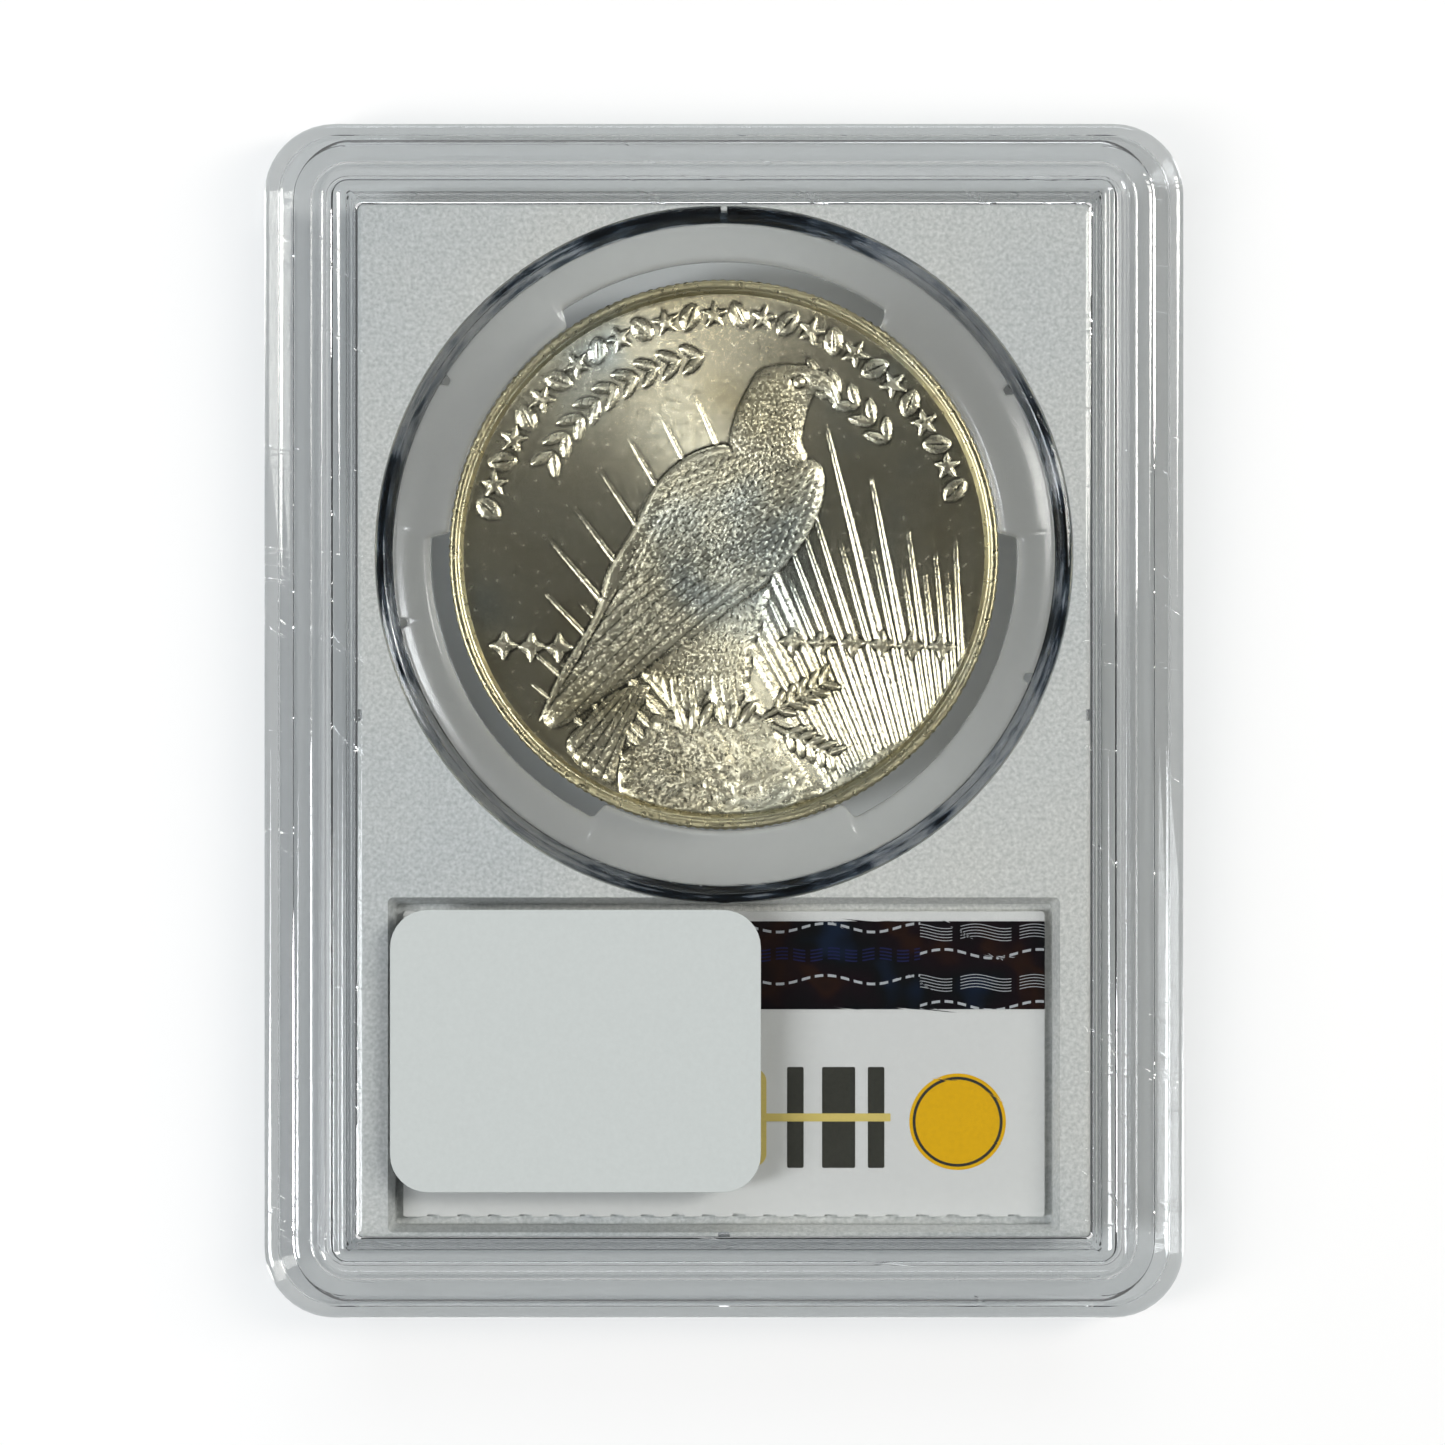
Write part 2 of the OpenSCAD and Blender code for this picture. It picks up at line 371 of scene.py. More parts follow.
def makeAboutAxis():
    # distance from an upright axis and the angle round it
    tree, given, out = newGroup("aboutAxis", (("Axis X", 0.0), ("Axis Y", 0.0)), ("Away", "Around"))
    place = splitPlace(tree)
    x = calc(tree, "SUBTRACT", place["X"], given["Axis X"])
    y = calc(tree, "SUBTRACT", place["Y"], given["Axis Y"])
    squares = plus(tree, times(tree, x, x), times(tree, y, y))
    tree.links.new(calc(tree, "SQRT", squares), out["Away"])
    tree.links.new(calc(tree, "ARCTAN2", y, x), out["Around"])
    return tree


grainGroup = makeGrain()
hairlineGroup = makeHairlines()
waveGroup = makeWave()
axisGroup = makeAboutAxis()


def useGroup(tree, group, **values):
    made = tree.nodes.new("ShaderNodeGroup")
    made.node_tree = group
    for key, value in values.items():
        made.inputs[key.replace("_", " ")].default_value = value
    return made.outputs


def addBump(mat, height, strength, distance):
    bump = node(mat.node_tree, "ShaderNodeBump", (("Height", height), ("Strength", strength),
                                                  ("Distance", distance)))
    feed(mat, "Normal", bump.outputs[0])


def letLampsThrough(mat, tint):
    # lamp light reaches paper, core and floor straight through clear plastic
    tree = mat.node_tree
    shader, out = tree.nodes["Principled BSDF"], tree.nodes["Material Output"]
    path = node(tree, "ShaderNodeLightPath")
    clear = node(tree, "ShaderNodeBsdfTransparent", (("Color", tint),))
    seen = shader.outputs[0]
    for ray in ("Is Diffuse Ray", "Is Shadow Ray"):
        both = node(tree, "ShaderNodeMixShader", ((0, path.outputs[ray]),))
        tree.links.new(seen, both.inputs[1])
        tree.links.new(clear.outputs[0], both.inputs[2])
        seen = both.outputs[0]
    tree.links.new(seen, out.inputs["Surface"])


def ramp(tree, value, stops):
    made = node(tree, "ShaderNodeValToRGB", (("Fac", value),))
    while len(made.color_ramp.elements) < len(stops):
        made.color_ramp.elements.new(0.5)
    for element, (at, color) in zip(made.color_ramp.elements, stops):
        element.position, element.color = at, color
    return made.outputs["Color"]


# materials

def makeClearPlastic(name, color, roughness, shadow, ripple=0.0, scratches=1.0, milky=0.0):
    mat = newMaterial(name, **{"Base Color": color, "Roughness": roughness, "IOR": 1.55,
                               "Transmission Weight": 1.0 - milky})
    tree = mat.node_tree
    marks = useGroup(tree, hairlineGroup, Density=scratches)
    grain = useGroup(tree, grainGroup, Scale=420.0, Cloud_Scale=150.0)
    height = plus(tree, times(tree, grain["Cloud"], ripple), marks["Height"])
    addBump(mat, height, 0.25, 0.00004)
    letLampsThrough(mat, shadow)
    return mat


def makeFrosted():
    mat = newMaterial("frostedCore", Roughness=0.62)
    tree = mat.node_tree
    grain = useGroup(tree, grainGroup, Scale=3600.0, Cloud_Scale=42.0, Contrast=2.6)
    shade = ramp(tree, grain["Shade"], ((0.1, (0.60, 0.61, 0.60, 1)), (0.95, (0.865, 0.87, 0.855, 1))))
    cloud = ramp(tree, grain["Cloud"], ((0.32, (0.86, 0.885, 0.905, 1)), (0.68, (1.0, 0.985, 0.95, 1))))
    feed(mat, "Base Color", mixColor(tree, 1.0, shade, cloud, "MULTIPLY"))
    addBump(mat, grain["Height"], 0.5, 0.00004)
    return mat


def makeSilver():
    # struck silver: bright high points, warm toning at the rim, and painted shade that darkens the low places
    mat = newMaterial("struckSilver", Metallic=1.0, Anisotropic=0.8)
    tree = mat.node_tree
    relief = node(tree, "ShaderNodeAttribute", attribute_name="relief").outputs["Fac"]
    hollowShade = node(tree, "ShaderNodeAttribute", attribute_name="hollowShade").outputs["Fac"]
    grain = useGroup(tree, grainGroup, Scale=1900.0, Cloud_Scale=95.0, Contrast=1.6)
    marks = useGroup(tree, hairlineGroup, Density=0.6, Turn=0.2)
    away = useGroup(tree, axisGroup, Axis_X=coinX, Axis_Y=coinY)["Away"]
    rimTone = mapRange(tree, away, coinR * 0.90, coinR * 0.985)
    base = ramp(tree, grain["Cloud"], ((0.3, (0.56, 0.50, 0.32, 1)), (0.45, (0.70, 0.65, 0.48, 1)),
                                       (0.56, (0.74, 0.70, 0.53, 1)), (0.7, (0.58, 0.61, 0.55, 1))))
    golden = mixColor(tree, times(tree, rimTone, 0.8), base, (0.42, 0.37, 0.21, 1))
    # painted shade: the low places of the relief are darkened towards near black
    deep = times(tree, calc(tree, "MAXIMUM", hollowShade, 0.0), 0.95)
    feed(mat, "Base Color", mixColor(tree, deep, golden, (0.07, 0.065, 0.045, 1)))
    rough = plus(tree, times(tree, grain["Shade"], 0.08), 0.21, times(tree, relief, 0.06))
    feed(mat, "Roughness", rough)
    height = plus(tree, grain["Height"], times(tree, marks["Height"], 0.5))
    addBump(mat, height, 0.55, 0.00005)
    # metal flowed outward under the dies in the field, and every way in the raised parts
    flow = node(tree, "ShaderNodeTangent", direction_type="RADIAL", axis="Z")
    toss = noise(tree, objectPlace(tree), 5200.0)["Color"]
    swing = mixVectors(tree, "SUBTRACT", toss, (0.5, 0.5, 0.5))
    much = node(tree, "ShaderNodeVectorMath", ((0, swing), ("Scale", times(tree, relief, 9.0))),
                operation="SCALE")
    feed(mat, "Tangent", mixVectors(tree, "ADD", flow.outputs[0], much.outputs[0]))
    return mat


def makeCollarPlastic():
    # polished clear wall whose colour carries painted reflections: long curved dark streaks of the room and
    # light patches, lightest at the corners, lighter at the sides, darkest at the top and bottom
    mat = newMaterial("collarPaintedReflections", **{"Roughness": 0.02, "IOR": 1.55, "Transmission Weight": 1.0})
    tree = mat.node_tree
    axis = useGroup(tree, axisGroup, Axis_X=coinX, Axis_Y=coinY)
    away, around = axis["Away"], axis["Around"]
    patterns = []
    for acrossWall, roundWall, level, detail in ((2300.0, 6.0, 0.0, 3.0), (500.0, 0.9, 4.2, 1.0)):
        spot = node(tree, "ShaderNodeCombineXYZ", (("X", times(tree, away, acrossWall)),
                                                  ("Y", times(tree, around, roundWall)), ("Z", level)))
        patterns.append(noise(tree, spot.outputs[0], 1.0, detail)["Fac"])
    streak, broad = patterns
    # painted reflections: lighter at the four corners and at the left and right sides
    paintedCornerLight = times(tree, calc(tree, "COSINE", times(tree, around, 4.0)), -0.10)
    paintedSideLight = times(tree, plus(tree, calc(tree, "COSINE", times(tree, around, 2.0)), 1.0), 0.035)
    both = plus(tree, paintedCornerLight, paintedSideLight, times(tree, broad, 0.30), times(tree, streak, 0.75))
    # painted reflection colours, from the near black of the dark room to white highlights
    tone = ramp(tree, both, ((0.42, (0.006, 0.009, 0.012, 1)), (0.50, (0.03, 0.05, 0.08, 1)),
                             (0.55, (0.50, 0.55, 0.64, 1)), (0.63, (0.96, 0.97, 1.0, 1))))
    feed(mat, "Base Color", tone)
    addBump(mat, streak, 0.25, 0.0002)
    letLampsThrough(mat, (0.88, 0.89, 0.90, 1))
    return mat


def makePaper(name, color, grainScale=2200.0, roughness=0.7):
    mat = newMaterial(name, Roughness=roughness)
    tree = mat.node_tree
    grain = useGroup(tree, grainGroup, Scale=grainScale, Cloud_Scale=160.0)
    dark = tuple(c * 0.93 for c in color[:3]) + (1,)
    fibre = ramp(tree, grain["Shade"], ((0.2, dark), (0.8, color)))
    feed(mat, "Base Color", fibre)
    addBump(mat, grain["Height"], 0.2, 0.00003)
    return mat


# all in mm: levels below the strip's top edge, and the seam from its right end
foilShape = {
    "seam": 8.65, "leftWaves": (0.45, 4.05), "rightWaves": (2.25, 5.85), "bands": (0.35, 3.85),
    "bandLines": 5, "bandGap": 0.21, "faintBand": 1.95, "faintLines": 4, "faintGap": 0.24,
}


def makeHologram(box):
    # black security foil with white wavy lines and faint colours
    mat = newMaterial("hologramFoil", **{"Roughness": 0.3, "Specular IOR Level": 0.12})
    tree = mat.node_tree
    top = box[1].y
    seamX = box[1].x - foilShape["seam"] * mm
    rightSide = calc(tree, "GREATER_THAN", splitPlace(tree)["X"], seamX)
    leftSide = calc(tree, "SUBTRACT", 1.0, rightSide)
    masks = {"left": None, "right": None, "faint": None}

    def addWave(side, level, **values):
        wave = useGroup(tree, waveGroup, Level=top - level * mm, **values)
        made = wave["Mask"]
        masks[side] = made if masks[side] is None else calc(tree, "MAXIMUM", masks[side], made)

    for level in foilShape["leftWaves"]:
        addWave("left", level, Shift=0.0012)
    for level in foilShape["rightWaves"]:
        addWave("right", level, Shift=-0.0004)
    for start in foilShape["bands"]:
        for line in range(foilShape["bandLines"]):
            addWave("right", start + foilShape["bandGap"] * line, Thick=0.00005, Dash=0.0041, Fill=0.86,
                    Swing=0.00016, Length=0.0041)
    for line in range(foilShape["faintLines"]):
        addWave("faint", foilShape["faintBand"] + foilShape["faintGap"] * line, Thick=0.0001, Dash=0.0012,
                Fill=0.7, Swing=0.0001, Length=0.0033)
    white = plus(tree, times(tree, masks["left"], leftSide), times(tree, masks["right"], rightSide))
    grain = useGroup(tree, grainGroup, Scale=900.0, Cloud_Scale=210.0)
    sheen = ramp(tree, grain["Cloud"], (
        (0.30, (0.005, 0.012, 0.030, 1)), (0.42, (0.002, 0.003, 0.004, 1)), (0.56, (0.006, 0.002, 0.004, 1)),
        (0.62, (0.018, 0.006, 0.003, 1)), (0.74, (0.003, 0.003, 0.005, 1))))
    withFaint = mixColor(tree, times(tree, masks["faint"], leftSide), sheen, (0.012, 0.015, 0.07, 1))
    feed(mat, "Base Color", mixColor(tree, white, withFaint, (0.50, 0.52, 0.54, 1)))
    addBump(mat, grain["Height"], 0.15, 0.00003)
    return mat


def makeInk(name, color, blotch=0.8):
    mat = newMaterial(name, **{"Roughness": 0.5, "Specular IOR Level": 0.25})
    tree = mat.node_tree
    grain = useGroup(tree, grainGroup, Scale=3200.0, Cloud_Scale=420.0, Contrast=1.4)
    thin = tuple(c * blotch for c in color[:3]) + (1,)
    tone = ramp(tree, grain["Shade"], ((0.25, thin), (0.6, color)))
    feed(mat, "Base Color", tone)
    addBump(mat, grain["Height"], 0.1, 0.00002)
    return mat


def makeFoil():
    mat = newMaterial("tagFoil", Metallic=1.0)
    tree = mat.node_tree
    grain = useGroup(tree, grainGroup, Scale=2600.0, Cloud_Scale=300.0)
    tone = ramp(tree, grain["Cloud"], ((0.3, (0.72, 0.45, 0.24, 1)), (0.7, (0.88, 0.62, 0.38, 1))))
    feed(mat, "Base Color", tone)
    rough = plus(tree, times(tree, grain["Shade"], 0.2), 0.2)
    feed(mat, "Roughness", rough)
    return mat


clearShell = makeClearPlastic("clearShell", (0.825, 0.832, 0.83, 1), 0.0, (0.91, 0.92, 0.925, 1), 0.10)
collarPaintedReflections = makeCollarPlastic()
clearGasket = makeClearPlastic("clearGasket", (0.85, 0.85, 0.83, 1), 0.18, (0.93, 0.93, 0.92, 1),
                               ripple=0.8, scratches=0.2, milky=0.25)
weldPlastic = makeClearPlastic("weldPlastic", (0.95, 0.96, 0.97, 1), 0.10, (0.9, 0.9, 0.9, 1), 6.0, 0.0)
frostedCore = makeFrosted()
struckSilver = makeSilver()
labelPaper = makePaper("labelPaper", (0.82, 0.82, 0.80, 1))
stickerFilm = makePaper("stickerFilm", (0.535, 0.57, 0.56, 1), 3000.0, 0.55)
hologramFoil = makeHologram(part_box("hologram_strip"))
darkInk = makeInk("darkInk", (0.030, 0.030, 0.022, 1))
yellowInk = makeInk("yellowInk", (0.90, 0.50, 0.0, 1), 0.92)
paleYellowInk = makeInk("paleYellowInk", (0.78, 0.62, 0.18, 1), 0.95)
tagFoil = makeFoil()
chipBlack = makeInk("chipBlack", (0.012, 0.012, 0.014, 1))
print("materials made")


# clear shells: insets from the outer edge across and along, with heights, all in mm

shellShape = {
    # corner radius at each inset from the outer edge
    "cornerByInset": ((0, 4.85), (2.0, 3.6), (3.7, 1.6), (4.8, 0.45), (8, 0.4)),
    "cornerSteps": 10, "windowDrop": 0.9, "windowThick": 1.2, "grooveDeep": 0.25, "jointGap": 0.02,
}


def shellOutline(insetX, insetY, z):
    cornerR = float(np.interp((insetX + insetY) / 2, *zip(*shellShape["cornerByInset"])))
    return boxOutline(halfWide - insetX, halfLong - insetY, cornerR, z, centreX, centreY,
                      shellShape["cornerSteps"])


def jointProfile(inside, seat, groove, up):
    # from the window's inner face round the cavity and over the welded joint to the outer wall
    return [
        (7.2, 6.4, inside), (6.6, 5.8, inside), (6.3, 5.5, inside - 0.05 * up),
        (6.15, 5.35, inside - 0.25 * up), (6.15, 5.35, seat + 0.06 * up), (6.09, 5.29, seat),
        (3.78, 3.13, seat), (3.7, 3.05, groove), (3.2, 2.55, groove), (3.12, 2.47, seat),
        (0.1, 0.1, seat), (0.0, 0.0, seat + 0.1 * up),
    ]


def makeBackShell():
    top, part = cadHigh.z / mm, partingZ / mm
    face = top - shellShape["windowDrop"]
    inside = face - shellShape["windowThick"]
    profile = jointProfile(inside, part, part + shellShape["grooveDeep"], 1) + [
        (0.0, 0.0, top - 1.62), (0.06, 0.06, top - 1.4), (0.2, 0.2, top - 1.24), (0.45, 0.42, top - 1.16),
        (0.95, 0.78, top - 1.15), (1.02, 0.84, top - 1.2), (1.10, 0.90, top - 1.2), (1.2, 0.98, top - 1.08),
        (2.08, 1.52, top - 0.18), (2.22, 1.64, top - 0.05), (2.45, 1.84, top), (3.9, 3.08, top),
        (4.1, 3.25, top - 0.04), (4.25, 3.37, top - 0.15), (4.78, 3.82, top - 0.66), (5.0, 4.04, top - 0.8),
        (5.2, 4.24, face + 0.04), (5.35, 4.38, face), (6.0, 4.9, face), (6.06, 4.96, face + 0.05),
        (6.2, 5.1, face + 0.05), (6.3, 5.2, face), (6.9, 5.8, face),
    ]
    shell = loft([shellOutline(*ring) for ring in profile])
    return finishPiece(shell, clearShell, "backShell", "holder", ["back_shell"])


def makeFrontShell():
    low, part = cadLow.z / mm, partingZ / mm
    face = low + shellShape["windowDrop"]
    inside = face + shellShape["windowThick"]
    seat = part - shellShape["jointGap"]
    profile = jointProfile(inside, seat, part - shellShape["grooveDeep"], -1) + [
        (0.0, 0.0, face + 0.55), (0.07, 0.07, face + 0.28), (0.22, 0.22, face + 0.1), (0.5, 0.5, face),
        (4.9, 3.95, face), (5.3, 4.35, face), (5.42, 4.47, face - 0.1), (5.52, 4.57, low + 0.12),
        (5.66, 4.71, low), (6.35, 5.4, low), (6.5, 5.55, low + 0.12), (6.58, 5.63, face - 0.08),
        (6.7, 5.75, face), (7.2, 6.4, face),
    ]
    shell = loft([shellOutline(*ring) for ring in profile])
    return finishPiece(shell, clearShell, "frontShell", "holder", ["front_shell"])


def makeWeldBead():
    # an uneven bead that stays inside its groove
    part = partingZ / mm
    random = np.random.default_rng(seed=7)
    profile = [(3.26, -0.16), (3.34, 0.16), (3.56, 0.18), (3.64, -0.14), (3.5, -0.2)]
    rings = []
    for inset, rise in profile:
        outline = shellOutline(inset, inset - 0.65, part + rise)
        wobble = random.uniform(-0.02, 0.02, (len(outline), 3)) * mm
        rings.append([tuple(np.array(p) + w) for p, w in zip(outline, wobble)])
    bead = loft(rings, closed=True)
    return finishPiece(bead, weldPlastic, "weldBead", "holder", ["weld_seam"], 60)


makeBackShell()
makeFrontShell()
makeWeldBead()
print("shells made")


# frosted core with its well, label opening and locating nicks

coreShape = {
    "wellClearance": 0.06, "recessMargin": 0.95, "ledge": 0.9, "nickWide": 0.8, "nickDeep": 0.45,
    "nickAbove": 0.4, "edgeRound": 0.12,
}


def makeCore():
    low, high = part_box("core_tray")
    cardLow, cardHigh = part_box("label_back_card")
    collarR = (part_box("ring_collar")[1].x - coinX) / mm
    z0, z1 = low.z / mm, high.z / mm
    halfX, halfY = halfSizeOf(low, high)
    profile = [(0.8, z0), (0.35, z0), (0.1, z0 + 0.1), (0.0, z0 + 0.35), (0.0, z1 - 0.5), (0.12, z1 - 0.2),
               (0.35, z1 - 0.04), (0.6, z1), (0.9, z1)]
    core = loft([boxOutline(halfX - i, halfY - i, 0.6, z, centreX, centreY) for i, z in profile])
    wellR = collarR + coreShape["wellClearance"]
    carve(core, roundBar(wellR, z0 - 1, z1 + 1, 256))
    cardX, cardY = middleOf(cardLow, cardHigh)
    cardW, cardL = halfSizeOf(cardLow, cardHigh)
    ledge = coreShape["ledge"]
    carve(core, boxBar(cardW - ledge, cardL - ledge, 0.5, z0 - 1, z1 + 1, cardX, cardY))
    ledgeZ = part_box("label_front_card")[0].z / mm
    margin = coreShape["recessMargin"]
    steps = ((margin - 0.45, ledgeZ), (margin - 0.4, ledgeZ + 1.1), (margin, z1 - 0.15),
             (margin + 0.3, z1 + 1))
    carve(core, loft([boxOutline(cardW + m, cardL + m, 0.4, z, cardX, cardY) for m, z in steps]))
    wide, deep = coreShape["nickWide"] / 2, coreShape["nickDeep"]
    nickY = centreY + coreShape["nickAbove"] * mm
    for x, y, halfNickX, halfNickY in ((low.x, nickY, deep, wide), (high.x, nickY, deep, wide),
                                       (centreX, low.y, wide, deep)):
        carve(core, boxBar(halfNickX, halfNickY, 0.12, z0 - 1, z1 + 1, x, y))
    # the rib that stands in the collar's slot
    ribY = coinY + (wellR - 0.13) * mm
    carve(core, boxBar(0.2, 0.22, 0.04, z0 + 1.3, z1 - 0.4, coinX, ribY), "UNION")
    roundEdges(core, coreShape["edgeRound"])
    return finishPiece(core, frostedCore, "frostedCore", "holder", ["core_tray"], 0)


# ribs and lands are at angles in degrees about the coin's axis
collarShape = {"wall": 1.1, "slotWide": 0.5, "slotFoot": 1.2, "ribs": (30, 148, 192, 338), "ribRound": 0.17}


def makeCollar():
    # the polished wall around the well, with its slot, gate and four crush ribs
    low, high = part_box("ring_collar")
    z0, z1 = low.z / mm, high.z / mm
    outR = halfSizeOf(low, high)[0]
    inR = outR - collarShape["wall"]
    profile = [(inR, z0 + 0.1), (inR + 0.1, z0), (outR - 0.1, z0), (outR, z0 + 0.1), (outR, z1 - 0.3),
               (outR - 0.08, z1 - 0.1), (outR - 0.3, z1), (outR - 0.55, z1), (outR - 0.68, z1 - 0.06),
               (inR + 0.12, z1 - 0.5), (inR, z1 - 0.7)]
    collar = loft([roundOutline(r, z, 288) for r, z in profile], closed=True)
    slotY, gateY = coinY + (outR - 0.5) * mm, coinY - (outR - 0.28) * mm
    carve(collar, boxBar(collarShape["slotWide"] / 2, 1.0, 0.05, z0 + collarShape["slotFoot"], z1 + 1,
                         coinX, slotY))
    gate = [(0.42, 0.3, z0 + 0.02), (0.42, 0.3, z1 - 0.12), (0.3, 0.22, z1 - 0.02)]
    carve(collar, loft([boxOutline(*half, 0.1, z, coinX, gateY) for *half, z in gate]), "UNION")
    for angle in collarShape["ribs"]:
        turn = math.radians(angle)
        x, y = coinX + (inR - 0.1) * mm * math.cos(turn), coinY + (inR - 0.1) * mm * math.sin(turn)
        carve(collar, roundBar(collarShape["ribRound"], z0 + 0.05, z1 - 0.75, 16, x, y), "UNION")
    return finishPiece(collar, collarPaintedReflections, "ringCollar", "holder", ["ring_collar"], 35)


ringShape = {
    "lands": (30, 150, 270), "landHalf": 25.2, "landFade": 1.6, "grip": 19.12, "gapDeep": 1.23,
    "notchHalf": 0.62, "notchDeep": 0.5,
}


def landRadius(angle):
    # inner radius of the coin ring: three lands that grip, three gaps between them
    past = (angleFrom(angle, ringShape["lands"]) - ringShape["landHalf"]) / ringShape["landFade"]
    rise = min(max(past, 0), 1)
    return ringShape["grip"] + ringShape["gapDeep"] * rise * rise * (3 - 2 * rise)


def makeCoinRing():
    low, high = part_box("coin_ring")
    z0, z1 = low.z / mm, high.z / mm
    outR = halfSizeOf(low, high)[0] - 0.03
    count = 720

    def inner(extra):
        return lambda angle: landRadius(angle) + extra

    def outer(cut):
        def radius(angle):
            notched = angleFrom(angle, collarShape["ribs"]) < ringShape["notchHalf"]
            return outR - cut - (ringShape["notchDeep"] if notched else 0.0)
        return radius

    profile = [(inner(0.0), z0 + 0.1), (inner(0.1), z0), (outer(0.15), z0), (outer(0.0), z0 + 0.15),
               (outer(0.0), z1 - 0.3), (outer(0.1), z1 - 0.12), (outer(0.3), z1), (inner(0.42), z1),
               (inner(0.3), z1 - 0.05), (inner(0.06), z1 - 0.28), (inner(0.0), z1 - 0.45)]
    ring = loft([roundOutline(r, z, count) for r, z in profile], closed=True)
    return finishPiece(ring, clearGasket, "coinRing", "holder", ["coin_ring"], 40)


makeCore()
makeCollar()
makeCoinRing()
print("core and rings made")


# the coin: relief heights in mm over a face of unit radius, by smooth outlines and formulas

coinShape = {
    "reeds": 188, "reedDeep": 0.07, "rimWide": 0.95, "fieldDrop": 0.50, "gridSteps": 313,
    "discOverlap": 0.05, "discSkirt": 0.15, "belowRim": 0.05, "settleWide": 0.015,
    "fullRelief": 0.3, "fullShadeDepth": 0.027,
    "wingRoot": (0.26, 0.30), "wingWay": (-0.719, -0.695), "raySource": (0.93, -1.77),
    # bearing of each ray from the source in degrees, and how far out its tip lies
    "rays": ((92.8, 1.87), (94.0, 1.74), (95.2, 1.83), (96.7, 1.76), (98.0, 1.92), (99.2, 1.78),
             (100.9, 2.13), (102.2, 1.88), (104.0, 2.34), (105.6, 1.92), (107.4, 2.06), (109.1, 2.0),
             (110.9, 2.02), (112.4, 1.86), (113.8, 2.59), (115.4, 1.86), (117.0, 2.57), (118.6, 1.8),
             (120.2, 2.56), (123.6, 2.51), (127.2, 2.46), (130.6, 2.45), (132.3, 2.19), (134.1, 2.31),
             (136.2, 2.0), (137.8, 2.08), (138.9, 2.19), (139.6, 1.72), (141.4, 2.12)),
    "wing": ((0.19, 0.32), (0.28, 0.35), (0.35, 0.32), (0.36, 0.23), (0.33, 0.12), (0.26, 0.01),
             (0.13, -0.13), (-0.06, -0.28), (-0.28, -0.42), (-0.46, -0.54), (-0.60, -0.63), (-0.66, -0.60),
             (-0.64, -0.53), (-0.55, -0.40), (-0.43, -0.18), (-0.38, -0.04), (-0.30, 0.09), (-0.22, 0.23),
             (-0.12, 0.34), (0.0, 0.39), (0.10, 0.37)),
    "backFold": ((-0.66, -0.60), (-0.60, -0.44), (-0.47, -0.22), (-0.42, -0.06), (-0.33, 0.09), (-0.25, 0.25),
                 (-0.13, 0.36), (0.0, 0.40), (0.02, 0.36), (-0.14, 0.29), (-0.27, 0.08), (-0.40, -0.16)),
    "head": ((0.02, 0.37), (0.04, 0.50), (0.09, 0.61), (0.13, 0.67), (0.20, 0.69), (0.27, 0.69), (0.33, 0.68),
             (0.34, 0.61), (0.31, 0.55), (0.29, 0.48), (0.28, 0.41), (0.30, 0.33), (0.20, 0.27),
             (0.08, 0.29)),
    "beak": ((0.30, 0.67), (0.35, 0.67), (0.40, 0.63), (0.42, 0.57), (0.41, 0.54), (0.38, 0.57),
             (0.34, 0.59), (0.30, 0.58)),
    "thigh": ((0.14, -0.12), (0.15, -0.21), (0.11, -0.33), (0.09, -0.45), (0.05, -0.55), (-0.03, -0.55),
              (-0.06, -0.50), (-0.10, -0.56), (-0.19, -0.56), (-0.24, -0.48), (-0.29, -0.42), (-0.10, -0.27)),
    "tail": ((-0.50, -0.60), (-0.57, -0.68), (-0.54, -0.75), (-0.47, -0.80), (-0.40, -0.83), (-0.38, -0.74),
             (-0.34, -0.62), (-0.27, -0.48), (-0.40, -0.50)),
    "rock": ((-0.38, -0.75), (-0.30, -0.66), (-0.25, -0.58), (-0.13, -0.57), (-0.02, -0.60), (0.10, -0.57),
             (0.19, -0.62), (0.23, -0.72), (0.30, -0.80), (0.36, -0.88), (0.20, -1.02), (-0.20, -1.02),
             (-0.36, -0.90)),
    "hill": ((0.32, -0.95), (0.38, -0.84), (0.48, -0.76), (0.60, -0.69), (0.74, -0.63), (0.84, -0.58),
             (1.0, -0.80), (0.7, -1.1)),
}


def smoothOutline(points, steps=6):
    # closed curve through the given points
    given = np.array(points, float)
    before, after, beyond = np.roll(given, 1, 0), np.roll(given, -1, 0), np.roll(given, -2, 0)
    made = []
    for t in np.arange(steps) / steps:
        square = (2 * before - 5 * given + 4 * after - beyond) * t ** 2
        cube = (3 * given - before - 3 * after + beyond) * t ** 3
        made.append(0.5 * (2 * given + (after - before) * t + square + cube))
    return np.stack(made, 1).reshape(-1, 2)


def depthInside(x, y, outline):
    # distance in from the outline's edge, and 0 outside it
    outline = np.array(outline)
    margin = 0.01
    near = ((x > outline[:, 0].min() - margin) & (x < outline[:, 0].max() + margin)
            & (y > outline[:, 1].min() - margin) & (y < outline[:, 1].max() + margin))
    result = np.zeros_like(x)
    px, py = x[near], y[near]
    inside = np.zeros(px.shape, bool)
    closest = np.full(px.shape, 9.0)
    for (ax, ay), (bx, by) in zip(outline, np.roll(outline, -1, 0)):
        dx, dy = bx - ax, by - ay
        along = np.clip(((px - ax) * dx + (py - ay) * dy) / max(dx * dx + dy * dy, 1e-12), 0, 1)
        closest = np.minimum(closest, (px - ax - along * dx) ** 2 + (py - ay - along * dy) ** 2)
        crossing = (ay > py) != (by > py)
        with np.errstate(divide="ignore", invalid="ignore"):
            inside ^= crossing & (px < dx * (py - ay) / (by - ay) + ax)
    result[near] = np.where(inside, np.sqrt(closest), 0)
    return result


def depthIn(x, y, name):
    return depthInside(x, y, smoothOutline(coinShape[name]))


def dome(depth, width, height):
    return height * np.sqrt(1 - (1 - np.clip(depth / width, 0, 1)) ** 2)


